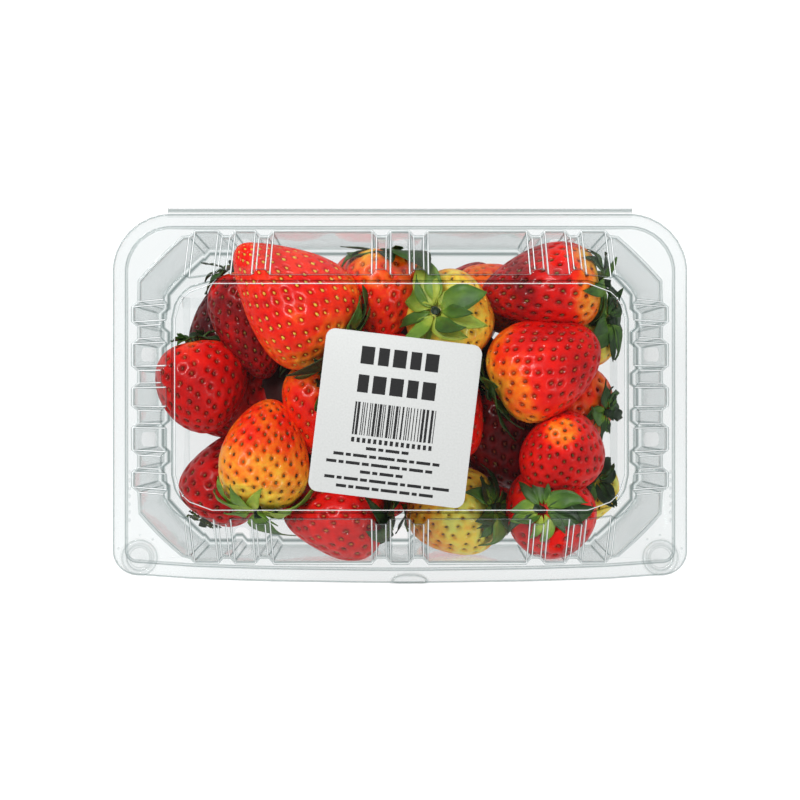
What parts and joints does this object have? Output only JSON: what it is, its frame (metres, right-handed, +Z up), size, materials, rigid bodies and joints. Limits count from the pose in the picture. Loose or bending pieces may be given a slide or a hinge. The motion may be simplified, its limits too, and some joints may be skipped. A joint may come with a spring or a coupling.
{
  "type": "punnet of strawberries",
  "caption": "Clear hinged plastic punnet, shut over a heap of whole strawberries with leaves, with vents in its fluted lid and a white paper label on top.",
  "frame": {"origin": "middle of the pack's box, on the surface that the tray stands on", "axes": "+X along the long side, +Y towards the hinge, +Z up"},
  "size_m": [0.187, 0.123, 0.0876],
  "materials": {
    "clear_sheet": "clear thermoformed sheet, glossy",
    "berry_skin": "ripe strawberry skin with pale seeds, moist gloss",
    "berry_leaf": "matt green leaf",
    "label_paper": "white coated label with black print"
  },
  "bodies": {
    "base": {"tray": "clear_sheet", "berries": "berry_skin", "hinge": "clear_sheet"},
    "cover": {"lid": "clear_sheet", "label": "label_paper"}
  },
  "joints": [
    {"name": "lid_hinge", "type": "hinge", "parent": "base", "child": "cover", "pos_m": [0, 0.0607, 0.062], "axis": [-1, 0, 0], "range_deg": [0, 180]}
  ]
}
